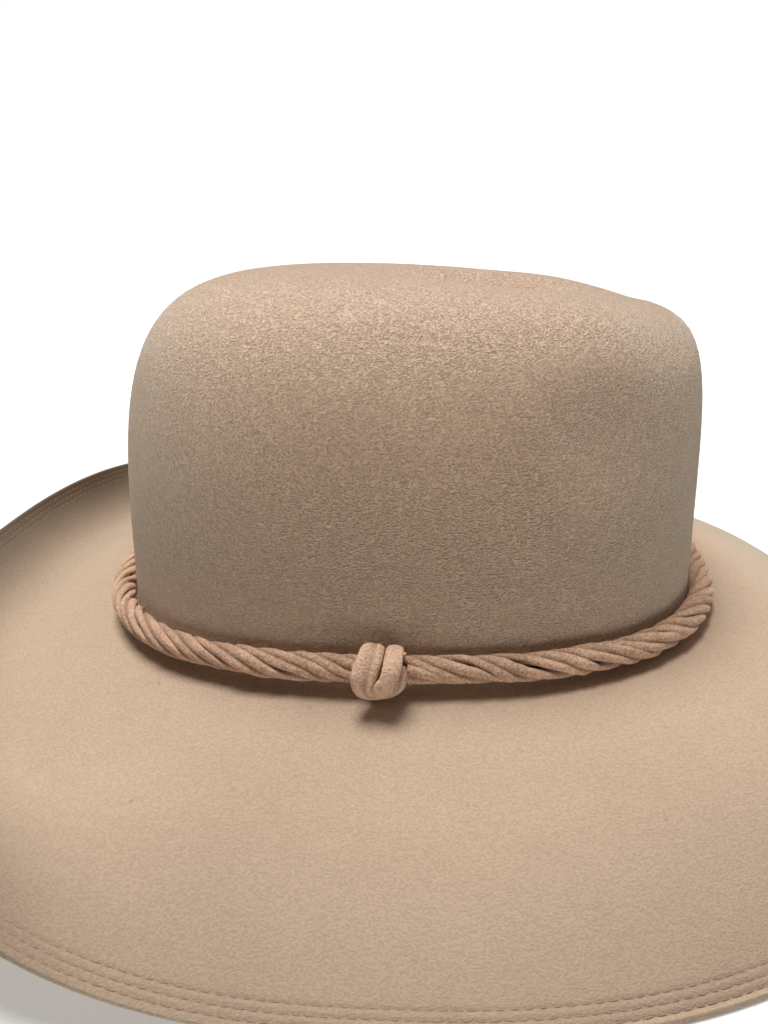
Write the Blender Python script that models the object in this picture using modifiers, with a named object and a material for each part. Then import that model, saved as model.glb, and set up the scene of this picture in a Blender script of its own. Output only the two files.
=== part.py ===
import math

import bmesh
import bpy
import numpy as np

# Driving sizes, in metres: +X is the front, +Y the wearer's left, +Z up, z = 0 the surface it rests on
FELT = 0.0020
CROWN_LENGTH = 0.1950
CROWN_WIDTH = 0.1745
CROWN_HEIGHT = 0.1115
BRIM_WIDTH = 0.0930
BREAK_HEIGHT = 0.0393
FILLET = 0.0060
EDGE_PRESS = 0.0012
LIP = 0.0022
DENT_LENGTH = 0.0900
DENT_WIDTH = 0.0620
DENT_DEPTH = 0.0090
PINCH_LENGTH = 0.0560
PINCH_HEIGHT = 0.0640
PINCH_DEPTH = 0.0050
CORD = 0.0084
CORD_PITCH = 0.0470
KNOT_LENGTH = 0.0170
KNOT_HEIGHT = 0.0152
KNOT_DEPTH = 0.0165
CLEARANCE = 0.0003

# Shape of the oval seen from above: 2 is an ellipse, more is squarer
OVAL_POWER = 2.65
# Strands that show round the twisted cord, and the depth of the grooves between them as a share of its radius
STRANDS = 3
GROOVE_SHARE = 0.18
# Where the knot sits, in degrees round the crown from the front
KNOT_ANGLE = 269.4

# Mesh steps, and steps of the searches for a slope and along a path
COLUMNS = 64
CROWN_ROWS = 16
BRIM_ROWS = 12
CORD_SECTIONS = 110
CORD_SIDES = 12
KNOT_SIDES = 16
HALVINGS = 40
PATH_STEPS = 720

# Steepest slope of the brim's edge, in degrees, and half the turn in radians below which the brim is straight
STEEPEST = 100
STRAIGHT = 1e-4
# How far the rounded corner between crown and brim reaches into the sharp one, as a share
CORNER_PULL = 0.5

# Brim, by angle from the front to the back, the same on both sides:
# angle in degrees, width as a share of BRIM_WIDTH, slope at the crown in degrees, edge height
# above the surface as a share of BREAK_HEIGHT, and the share of the width that runs straight before it turns
BRIM_SECTIONS = (
    (0, 1.00, 4.5, 0.00, 0),
    (50, 1.00, 0, 0.00, 0),
    (95, 1.00, -14.4, 0.00, 0),
    (128, 1.061, -15, 0.981, 0.50),
    (152, 0.918, -12, 1.277, 0.55),
    (180, 0.855, -11, 1.163, 0.55),
)
# Crown wall, by angle as above: squareness of the top corner, and lean in hundredths of the half width
CROWN_SECTIONS = (
    (0, 6.8, -0.1),
    (45, 7.2, 0.8),
    (90, 4.0, 0.5),
    (180, 4.4, 4.2),
)
# Top line from back to front: place as a share of the half length, height as a share of CROWN_HEIGHT
TOP_LINE = (
    (-1.0, 1.044),
    (-0.5, 0.996),
    (0.0, 0.973),
    (0.3, 0.941),
    (0.55, 0.921),
    (0.8, 0.897),
    (1.0, 0.965),
)
# Middles of the dents: the centre dent from back to front as a share of the half length, and the
# two front pinches as shares of the half length and of CROWN_HEIGHT
DENT_CENTRE = 0.30
PINCH_CENTRE = (0.62, 0.66)

# Knot, from one cord end to the other: place as a share of half KNOT_LENGTH, and girth as a share
# of KNOT_HEIGHT and KNOT_DEPTH
KNOT_SECTIONS = (
    (-1.0, 0.62),
    (-0.8, 0.84),
    (-0.4, 0.98),
    (0.0, 0.92),
    (0.4, 0.98),
    (0.8, 0.84),
    (1.0, 0.62),
)

MATERIALS = {
    "felt": ((0.58, 0.46, 0.36), 0.95),
    "suede": ((0.55, 0.40, 0.33), 0.90),
}


def read_table(table, place, column):
    """Smooth value of one column of a table, with no overshoot between its rows"""
    places = [row[0] for row in table]
    values = [row[column] for row in table]
    place = min(max(place, places[0]), places[-1])
    gaps = [b - a for a, b in zip(places, places[1:])]
    rates = [(b - a) / gap for a, b, gap in zip(values, values[1:], gaps)]
    slopes = [0.0]
    for before, after in zip(rates, rates[1:]):
        slopes.append(2 * before * after / (before + after) if before * after > 0 else 0.0)
    slopes.append(0.0)
    i = max(k for k in range(len(gaps)) if places[k] <= place)
    t = (place - places[i]) / gaps[i]
    start = values[i] * (1 + 2 * t) * (1 - t) ** 2 + slopes[i] * gaps[i] * t * (1 - t) ** 2
    end = values[i + 1] * t * t * (3 - 2 * t) - slopes[i + 1] * gaps[i] * t * t * (1 - t)
    return start + end


def from_front(angle):
    """Angle away from the front, 0 to 180 degrees, on either side"""
    return abs((math.degrees(angle) + 180) % 360 - 180)


def oval(angle):
    """Point and outward direction of the crown's outline at the break, seen from above"""
    c, s = math.cos(angle), math.sin(angle)
    half_length, half_width = CROWN_LENGTH / 2, CROWN_WIDTH / 2
    x = half_length * math.copysign(abs(c) ** (2 / OVAL_POWER), c)
    y = half_width * math.copysign(abs(s) ** (2 / OVAL_POWER), s)
    turn = 2 - 2 / OVAL_POWER
    out_x = math.copysign(abs(c) ** turn, c) / half_length
    out_y = math.copysign(abs(s) ** turn, s) / half_width
    size = math.hypot(out_x, out_y)
    return x, y, out_x / size, out_y / size


def bump(share):
    """1 at the middle, easing to 0 at share 1"""
    return (1 - min(abs(share), 1.0) ** 2) ** 2


def crown_point(angle, lift):
    """Outer felt of the crown; lift runs from 0 at the break to a quarter turn at the top"""
    x, y, _, _ = oval(angle)
    square = read_table(CROWN_SECTIONS, from_front(angle), 1)
    lean = read_table(CROWN_SECTIONS, from_front(angle), 2) / 100
    reach = (math.cos(lift) ** square + math.sin(lift) ** square) ** (-1 / square)
    out, up = reach * math.cos(lift), reach * math.sin(lift)
    x *= out * (1 - lean * up)
    y *= out * (1 - lean * up)
    along = x / (CROWN_LENGTH / 2)
    z = CROWN_HEIGHT * read_table(TOP_LINE, along, 1) * up
    dent_along = (x - DENT_CENTRE * CROWN_LENGTH / 2) / (DENT_LENGTH / 2)
    dent_across = y / (DENT_WIDTH / 2)
    dent = bump(math.hypot(dent_along, dent_across))
    pinch_along = (x - PINCH_CENTRE[0] * CROWN_LENGTH / 2) / (PINCH_LENGTH / 2)
    pinch_up = (z - PINCH_CENTRE[1] * CROWN_HEIGHT) / (PINCH_HEIGHT / 2)
    pinch = bump(math.hypot(pinch_along, pinch_up))
    side = 2 * y / CROWN_WIDTH
    return x, y - PINCH_DEPTH * pinch * side, BREAK_HEIGHT + z - DENT_DEPTH * dent


def brim_run(slopes, hold, width, along):
    """Distance out and up at a share of the width, on a brim that runs straight and then turns evenly"""
    first, last = slopes
    straight = width * min(along, hold)
    turned = max(along - hold, 0) / (1 - hold)
    half = (last - first) * turned / 2
    chord = width * (1 - hold) * turned
    if abs(half) > STRAIGHT:
        chord *= math.sin(half) / half
    return (
        straight * math.cos(first) + chord * math.cos(first + half),
        straight * math.sin(first) + chord * math.sin(first + half),
    )


def brim_shape(angle):
    """Slopes, straight share and width; the slope at the edge is the one that brings it to its height"""
    away = from_front(angle)
    width = BRIM_WIDTH * read_table(BRIM_SECTIONS, away, 1)
    first = math.radians(read_table(BRIM_SECTIONS, away, 2))
    share = read_table(BRIM_SECTIONS, away, 3)
    hold = read_table(BRIM_SECTIONS, away, 4)
    rise = (share - 1) * BREAK_HEIGHT + (1 - share) * (FELT - EDGE_PRESS)
    low, high = math.radians(-STEEPEST), math.radians(STEEPEST)
    for _ in range(HALVINGS):
        last = (low + high) / 2
        if brim_run((first, last), hold, width, 1)[1] < rise:
            low = last
        else:
            high = last
    return (first, last), hold, width


def brim_point(angle, distance):
    """Upper felt of the brim at a distance from the break, pressed flat where it meets the surface"""
    x, y, out_x, out_y = oval(angle)
    slopes, hold, width = brim_shape(angle)
    out, up = brim_run(slopes, hold, width, distance / width)
    return x + out_x * out, y + out_y * out, max(BREAK_HEIGHT + up, FELT)


def felt_rings():
    """Rings of points from the top of the crown to the edge of the brim"""
    angles = [math.tau * i / COLUMNS for i in range(COLUMNS)]
    quarter = math.pi / 2
    wall_end = math.atan2(FILLET / CROWN_HEIGHT, 1)
    lifts = [quarter + (wall_end - quarter) * i / CROWN_ROWS for i in range(1, CROWN_ROWS + 1)]
    rings = [[crown_point(a, lift) for a in angles] for lift in lifts]
    after = [brim_point(a, FILLET) for a in angles]
    corner = [(*oval(a)[:2], BREAK_HEIGHT) for a in angles]
    weights = ((1 - CORNER_PULL) / 2, CORNER_PULL, (1 - CORNER_PULL) / 2)
    rings.append([
        tuple(sum(w * p[k] for w, p in zip(weights, points)) for k in range(3))
        for points in zip(rings[-1], corner, after)
    ])
    rings.append(after)
    widths = [brim_shape(a)[-1] for a in angles]
    for i in range(1, BRIM_ROWS + 1):
        share = i / BRIM_ROWS
        rings.append([
            brim_point(a, FILLET + (w - LIP - FILLET) * share) for a, w in zip(angles, widths)
        ])
    for inset in (LIP / 2, 0.0):
        rings.append([brim_point(a, w - inset) for a, w in zip(angles, widths)])
    return rings


def add_rings(mesh, rings, closed=False):
    """Joins rings of points by quads; closed joins the last ring to the first"""
    made = [[mesh.verts.new(p) for p in ring] for ring in rings]
    pairs = list(zip(made, made[1:])) + ([(made[-1], made[0])] if closed else [])
    for upper, lower in pairs:
        for i in range(len(upper)):
            j = (i + 1) % len(upper)
            mesh.faces.new((upper[i], lower[i], lower[j], upper[j]))
    return made


def add_fan(mesh, ring, point):
    """Closes a ring with triangles to one point"""
    tip = mesh.verts.new(point)
    for i in range(len(ring)):
        mesh.faces.new((tip, ring[i], ring[(i + 1) % len(ring)]))


def to_object(mesh, name, collection, slot):
    """One named object from a mesh, with its own material; an open sheet keeps its winding"""
    if all(edge.is_manifold for edge in mesh.edges):
        bmesh.ops.recalc_face_normals(mesh, faces=mesh.faces)
    data = bpy.data.meshes.new(name)
    mesh.to_mesh(data)
    mesh.free()
    data.shade_smooth()
    colour, roughness = MATERIALS[slot]
    material = bpy.data.materials.new(name)
    material.use_nodes = True
    shader = material.node_tree.nodes["Principled BSDF"]
    shader.inputs["Base Color"].default_value = (*colour, 1)
    shader.inputs["Roughness"].default_value = roughness
    data.materials.append(material)
    obj = bpy.data.objects.new(name, data)
    collection.objects.link(obj)
    return obj


def make_felt_body(collection):
    """Crown and brim, one sheet of felt with its thickness below"""
    mesh = bmesh.new()
    rings = add_rings(mesh, felt_rings())
    middle = crown_point(0, math.pi / 2)
    add_fan(mesh, rings[0], middle)
    felt = to_object(mesh, "felt_body", collection, "felt")
    wall = felt.modifiers.new("felt", "SOLIDIFY")
    wall.thickness = FELT
    wall.offset = -1
    wall.use_even_offset = True
    return felt


def seat_height(angle, out, half_depth, half_height):
    """Height above the break at which an oval section clears the brim, its middle that far out"""
    slope = brim_shape(angle)[0][0]
    below = math.hypot(half_depth * math.sin(slope), half_height * math.cos(slope))
    return (out * math.sin(slope) + below + CLEARANCE) / math.cos(slope)


def cord_centre(angle):
    """Middle of the hatband, which lies in the rounded corner between the crown and the brim"""
    x, y, out_x, out_y = oval(angle)
    radius = CORD / 2
    out = radius + CLEARANCE
    up = max(seat_height(angle, out, radius, radius), FILLET)
    return np.array((x + out_x * out, y + out_y * out, BREAK_HEIGHT + up))


def cord_path():
    """Points at even distances all round, starting and ending at the knot"""
    start = math.radians(KNOT_ANGLE)
    fine = np.array([cord_centre(start + math.tau * i / PATH_STEPS) for i in range(PATH_STEPS + 1)])
    steps = np.linalg.norm(np.diff(fine, axis=0), axis=1)
    lengths = np.concatenate(([0.0], np.cumsum(steps)))
    trim = KNOT_LENGTH / 2 + CLEARANCE
    wanted = np.linspace(trim, lengths[-1] - trim, CORD_SECTIONS)
    points = np.column_stack([np.interp(wanted, lengths, fine[:, k]) for k in range(3)])
    return points, wanted


def cord_radius(turned):
    """Radius of the twisted cord at an angle round it, measured from a strand's crown"""
    return CORD / 2 * (1 - GROOVE_SHARE * (0.5 - 0.5 * math.cos(STRANDS * turned)))


def make_band_cord(collection):
    """Hatband of laces twisted into one cord, open at the knot"""
    points, lengths = cord_path()
    along = np.gradient(points, axis=0)
    along /= np.linalg.norm(along, axis=1)[:, None]
    rings = []
    for point, direction, length in zip(points, along, lengths):
        out = np.cross(direction, (0, 0, 1))
        out /= np.linalg.norm(out)
        up = np.cross(out, direction)
        twist = math.tau * length / CORD_PITCH
        ring = []
        for i in range(CORD_SIDES):
            around = math.tau * i / CORD_SIDES
            radius = cord_radius(around - twist)
            ring.append(point + radius * (out * math.cos(around) + up * math.sin(around)))
        rings.append(ring)
    mesh = bmesh.new()
    made = add_rings(mesh, rings)
    add_fan(mesh, made[0][::-1], points[0])
    add_fan(mesh, made[-1], points[-1])
    return to_object(mesh, "band_cord", collection, "suede")


def make_band_knot(collection):
    """Knot that closes the hatband, between the two ends of the cord"""
    angle = math.radians(KNOT_ANGLE)
    x, y, out_x, out_y = oval(angle)
    out = np.array((out_x, out_y, 0.0))
    along = np.array((-out_y, out_x, 0.0))
    up = np.array((0.0, 0.0, 1.0))
    reach = KNOT_DEPTH / 2 + 2 * CLEARANCE
    lift = seat_height(angle, reach, KNOT_DEPTH / 2, KNOT_HEIGHT / 2)
    centre = np.array((x, y, BREAK_HEIGHT)) + out * reach + up * (lift + CLEARANCE)
    rings = []
    for place, size in KNOT_SECTIONS:
        ring = []
        for i in range(KNOT_SIDES):
            around = math.tau * i / KNOT_SIDES
            ring.append(
                centre
                + along * place * KNOT_LENGTH / 2
                + out * math.cos(around) * size * KNOT_DEPTH / 2
                + up * math.sin(around) * size * KNOT_HEIGHT / 2
            )
        rings.append(ring)
    mesh = bmesh.new()
    made = add_rings(mesh, rings)
    for ring, place in ((made[0][::-1], -1.0), (made[-1], 1.0)):
        add_fan(mesh, ring, centre + along * place * KNOT_LENGTH / 2)
    return to_object(mesh, "band_knot", collection, "suede")


def middle_of(obj):
    """Middle of an object's finished box, front to back"""
    graph = bpy.context.evaluated_depsgraph_get()
    places = [v.co.x for v in obj.evaluated_get(graph).data.vertices]
    return (min(places) + max(places)) / 2


def main():
    for obj in list(bpy.data.objects):
        bpy.data.objects.remove(obj)
    collection = bpy.data.collections.new("wide_brim_hat")
    bpy.context.scene.collection.children.link(collection)
    pieces = [make_felt_body(collection), make_band_cord(collection), make_band_knot(collection)]
    middle = middle_of(pieces[0])
    for piece in pieces:
        piece.location.x = -middle


main()
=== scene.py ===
# Wide-brim felt hat with a twisted suede band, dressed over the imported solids
import math
import bpy
import numpy as np
from mathutils import Matrix, Vector, noise


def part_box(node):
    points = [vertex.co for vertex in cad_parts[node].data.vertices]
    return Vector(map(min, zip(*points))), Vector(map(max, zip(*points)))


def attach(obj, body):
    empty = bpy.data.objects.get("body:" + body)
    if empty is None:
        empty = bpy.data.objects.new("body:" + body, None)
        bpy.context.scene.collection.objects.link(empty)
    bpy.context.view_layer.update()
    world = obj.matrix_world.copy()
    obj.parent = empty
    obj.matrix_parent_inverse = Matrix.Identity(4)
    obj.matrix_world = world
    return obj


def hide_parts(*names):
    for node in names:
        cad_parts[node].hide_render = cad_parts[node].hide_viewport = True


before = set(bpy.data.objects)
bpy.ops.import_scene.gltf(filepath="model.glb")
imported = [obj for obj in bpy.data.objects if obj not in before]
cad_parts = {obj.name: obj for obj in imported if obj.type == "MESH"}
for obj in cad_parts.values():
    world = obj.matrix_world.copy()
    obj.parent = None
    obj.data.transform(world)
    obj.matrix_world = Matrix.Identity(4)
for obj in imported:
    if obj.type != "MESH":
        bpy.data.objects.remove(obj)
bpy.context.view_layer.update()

scene = bpy.context.scene
print("solids loaded:", ", ".join(sorted(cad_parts)))

# small helpers for meshes and node trees


def readTable(rows, places, column):  # smooth values of one column, no overshoot between the rows
    xs = np.array([row[0] for row in rows], float)
    ys = np.array([row[column] for row in rows], float)
    gaps = np.diff(xs)
    rates = np.diff(ys) / gaps
    slopes = np.zeros(len(xs))
    for k in range(1, len(xs) - 1):
        if rates[k - 1] * rates[k] > 0:
            slopes[k] = 2 * rates[k - 1] * rates[k] / (rates[k - 1] + rates[k])
    places = np.clip(places, xs[0], xs[-1])
    i = np.clip(np.searchsorted(xs, places, side="right") - 1, 0, len(gaps) - 1)
    t = (places - xs[i]) / gaps[i]
    start = ys[i] * (1 + 2 * t) * (1 - t) ** 2 + slopes[i] * gaps[i] * t * (1 - t) ** 2
    return start + ys[i + 1] * t * t * (3 - 2 * t) - slopes[i + 1] * gaps[i] * t * t * (1 - t)


def meshPiece(name, points, faces, material=None, edges=()):
    data = bpy.data.meshes.new(name)
    data.from_pydata([tuple(p) for p in points], edges, faces)
    data.validate()
    data.shade_smooth()
    if material:
        data.materials.append(material)
    piece = bpy.data.objects.new(name, data)
    scene.collection.objects.link(piece)
    return piece


def gridFaces(rows, columns, first=0):  # quads between rings of points, each ring closed
    made = []
    for r in range(rows - 1):
        for c in range(columns):
            n = (c + 1) % columns
            a, b = first + r * columns, first + (r + 1) * columns
            made.append((a + c, b + c, b + n, a + n))
    return made


def put(tree, kind, inputs=None, **settings):  # one node, its settings and what feeds it
    node = tree.nodes.new(kind)
    for name, value in settings.items():
        setattr(node, name, value)
    for key, value in (inputs or {}).items():
        if isinstance(value, bpy.types.NodeSocket):
            tree.links.new(value, node.inputs[key])
        else:
            node.inputs[key].default_value = value
    return node


def shapeTree(name, sockets):  # geometry tree with named inputs, values and where they enter
    tree = bpy.data.node_groups.new(name, "GeometryNodeTree")
    tree.is_modifier = True
    tree.interface.new_socket("Geometry", in_out="INPUT", socket_type="NodeSocketGeometry")
    for label, kind, value in sockets:
        socket = tree.interface.new_socket(label, in_out="INPUT", socket_type="NodeSocket" + kind)
        if value is not None:
            socket.default_value = value
    tree.interface.new_socket("Geometry", in_out="OUTPUT", socket_type="NodeSocketGeometry")
    return tree, tree.nodes.new("NodeGroupInput").outputs


def closeTree(tree, geometry, material):  # every tree ends the same way
    whole = put(tree, "GeometryNodeRealizeInstances", {0: geometry})
    smooth = put(tree, "GeometryNodeSetShadeSmooth", {0: whole.outputs[0]})
    painted = put(tree, "GeometryNodeSetMaterial", {0: smooth.outputs[0], "Material": material})
    put(tree, "NodeGroupOutput", {0: painted.outputs[0]})


def growPiece(piece, tree, values):  # runs a tree on a piece and keeps the result as a plain mesh
    modifier = piece.modifiers.new(tree.name, "NODES")
    modifier.node_group = tree
    known = {s.name: s.identifier for s in tree.interface.items_tree if s.in_out == "INPUT"}
    for label, value in values.items():
        modifier[known[label]] = value
    graph = bpy.context.evaluated_depsgraph_get()
    made = bpy.data.meshes.new_from_object(
        piece.evaluated_get(graph), preserve_all_data_layers=True, depsgraph=graph)
    piece.modifiers.clear()
    piece.data = made
    return piece


def mathNode(tree, operation, a, b=0.0, c=0.0):
    return put(tree, "ShaderNodeMath", {0: a, 1: b, 2: c}, operation=operation).outputs[0]


def vectorNode(tree, operation, a, b=(0, 0, 0)):
    return put(tree, "ShaderNodeVectorMath", {0: a, 1: b}, operation=operation).outputs[0]


def scaledVector(tree, vector, factor):
    node = put(tree, "ShaderNodeVectorMath", {0: vector, "Scale": factor}, operation="SCALE")
    return node.outputs[0]


def ranged(tree, value, spans, soft=False):  # spans are from low, from high, to low and to high
    inputs = {0: value, **{k + 1: limit for k, limit in enumerate(spans)}}
    kind = "SMOOTHSTEP" if soft else "LINEAR"
    return put(tree, "ShaderNodeMapRange", inputs, interpolation_type=kind).outputs[0]


def noiseNode(tree, vector, scale, detail=2.0, roughness=0.5):
    return put(tree, "ShaderNodeTexNoise", {
        "Vector": vector, "Scale": scale, "Detail": detail, "Roughness": roughness}).outputs


def closeRing(points, faces, base, count, forward):  # a point in the middle of a ring, and its fan
    tip = len(points)
    points.append(np.mean(points[base:base + count], axis=0))
    for c in range(count):
        n = (c + 1) % count
        faces.append((tip, base + c, base + n) if forward else (tip, base + n, base + c))


# shader groups that the felt, the suede and the thread share

effectSizes = {
    "wideGrain": 0.45, "fineShare": 0.8, "wideShare": 0.2, "napSpread": 3.2, "driftSpread": 3.0,
    "tornFrom": 0.36, "tornTo": 0.64, "tornLeast": 0.15,
}


def effectGroup(name, sockets, results):
    group = bpy.data.node_groups.new(name, "ShaderNodeTree")
    for label, kind, value in sockets:
        socket = group.interface.new_socket(label, in_out="INPUT", socket_type="NodeSocket" + kind)
        if value is not None:
            socket.default_value = value
    for label, kind in results:
        group.interface.new_socket(label, in_out="OUTPUT", socket_type="NodeSocket" + kind)
    return group, group.nodes.new("NodeGroupInput").outputs


def makeNapGroup():  # short raised fibres: a mask for colour and a height for relief
    group, fed = effectGroup(
        "napGrain",
        [("Vector", "Vector", None), ("Grain", "Float", 1000.0), ("Flatten", "Float", 1.0),
         ("Contrast", "Float", 1.0)],
        [("Mask", "Float"), ("Height", "Float")])
    e = effectSizes
    squash = put(group, "ShaderNodeCombineXYZ", {0: 1.0, 1: 1.0, 2: fed["Flatten"]})
    place = vectorNode(group, "MULTIPLY", fed["Vector"], squash.outputs[0])
    fine = noiseNode(group, place, fed["Grain"], 1.0)[0]
    wide = noiseNode(group, place, mathNode(group, "MULTIPLY", fed["Grain"], e["wideGrain"]), 1.0)[0]
    both = mathNode(group, "ADD", mathNode(group, "MULTIPLY", fine, e["fineShare"]),
                    mathNode(group, "MULTIPLY", wide, e["wideShare"]))
    centred = mathNode(group, "MULTIPLY", mathNode(group, "SUBTRACT", both, 0.5), fed["Contrast"])
    lifted = mathNode(group, "MULTIPLY_ADD", centred, e["napSpread"], 0.5)
    mask = put(group, "ShaderNodeClamp", {0: lifted})
    put(group, "NodeGroupOutput", {"Mask": mask.outputs[0], "Height": both})
    return group


def makeDriftGroup():  # slow change of tone from place to place
    group, fed = effectGroup(
        "toneDrift",
        [("Vector", "Vector", None), ("Patch", "Float", 20.0), ("Amount", "Float", 0.1)],
        [("Factor", "Float")])
    cloud = noiseNode(group, fed["Vector"], fed["Patch"], 3.0)[0]
    centred = mathNode(group, "SUBTRACT", cloud, 0.5)
    swing = mathNode(group, "MULTIPLY", centred, effectSizes["driftSpread"])
    put(group, "NodeGroupOutput", {"Factor": mathNode(group, "MULTIPLY_ADD", swing, fed["Amount"], 1.0)})
    return group


def makeWearAndHighlightGroup():  # worn or dusty where the mask says, and on the suede also painted highlight, broken up so it never reads as a line
    group, fed = effectGroup(
        "wearAndHighlightMarks",
        [("Vector", "Vector", None), ("Where", "Float", 0.0), ("Breakup", "Float", 180.0),
         ("Amount", "Float", 0.5)],
        [("Mask", "Float")])
    specks = noiseNode(group, fed["Vector"], fed["Breakup"], 4.0)[0]
    e = effectSizes
    torn = ranged(group, specks, (e["tornFrom"], e["tornTo"], e["tornLeast"], 1.0))
    held = mathNode(group, "MULTIPLY", mathNode(group, "MULTIPLY", torn, fed["Where"]), fed["Amount"])
    put(group, "NodeGroupOutput", {"Mask": held})
    return group


napGroup, driftGroup, wearAndHighlightGroup = makeNapGroup(), makeDriftGroup(), makeWearAndHighlightGroup()


def startMaterial(name, shaderValues):
    material = bpy.data.materials.new(name)
    material.use_nodes = True
    tree = material.node_tree
    shader = tree.nodes["Principled BSDF"]
    for label, value in shaderValues.items():
        shader.inputs[label].default_value = value
    place = tree.nodes.new("ShaderNodeTexCoord").outputs["Object"]
    return material, tree, shader, place


def groupNode(tree, group, inputs):
    return put(tree, "ShaderNodeGroup", inputs, node_tree=group).outputs


def blendColours(tree, factor, first, second, mode="MIX"):
    inputs = {"Factor": factor, 6: first, 7: second}
    return put(tree, "ShaderNodeMix", inputs, data_type="RGBA", blend_type=mode).outputs[2]


def blendNumbers(tree, factor, first, second):
    return put(tree, "ShaderNodeMix", {0: factor, 2: first, 3: second}, data_type="FLOAT").outputs[0]


def tinted(tree, factor, colour, tint):  # a colour multiplied by a tint where the factor says
    return blendColours(tree, factor, colour, blendColours(tree, 1.0, colour, tint, "MULTIPLY"))


def attributeNode(tree, name):
    return put(tree, "ShaderNodeAttribute", attribute_name=name).outputs


def grey(tree, value):  # the same number in all three channels
    return put(tree, "ShaderNodeCombineColor", {0: value, 1: value, 2: value}).outputs[0]


# felt

feltLook = {
    "light": (0.690, 0.510, 0.368, 1), "dark": (0.455, 0.326, 0.228, 1), "shade": (0.330, 0.215, 0.140, 1),
    "mark": (0.230, 0.150, 0.100, 1), "markSize": 240.0, "markFrom": 0.745, "markTo": 0.79,
    "markAmount": 0.40, "markBreakup": 600.0,
    "napGrain": 1300.0, "napFlatten": 2.0, "napContrast": 1.45, "relief": 0.0026, "rough": (0.86, 1.0),
    "driftPatch": 14.0, "driftAmount": 0.05, "smudgePatch": 90.0, "smudgeAmount": 0.025,
    "crownFrom": 0.10, "crownTo": 0.19, "crownPaintedLight": (1.31, 1.235, 1.195, 1),
    "brimNap": 0.34, "brimRelief": 0.10,
    "topFrom": 0.114, "topTo": 0.146, "topPaintedSheen": (1.17, 1.20, 1.27, 1), "topRelief": 0.45,
    "footReach": 0.030, "footLightTone": 1.34, "rimReach": 0.050, "rimTone": 0.80,
    "curlFrom": -0.055, "curlTo": -0.120, "curlReach": 0.045, "curlShadeTone": 0.38,
    "rowNear": 0.0001, "rowFar": 0.0006, "rowShade": 0.28,
    "sheen": 0.95, "sheenRoughness": 0.36, "sheenTint": (0.93, 0.97, 0.84, 1), "specular": 0.15,
}
stitchRows = (0.0020, 0.0041, 0.0062)  # distances of the three rows from the cut edge


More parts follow.
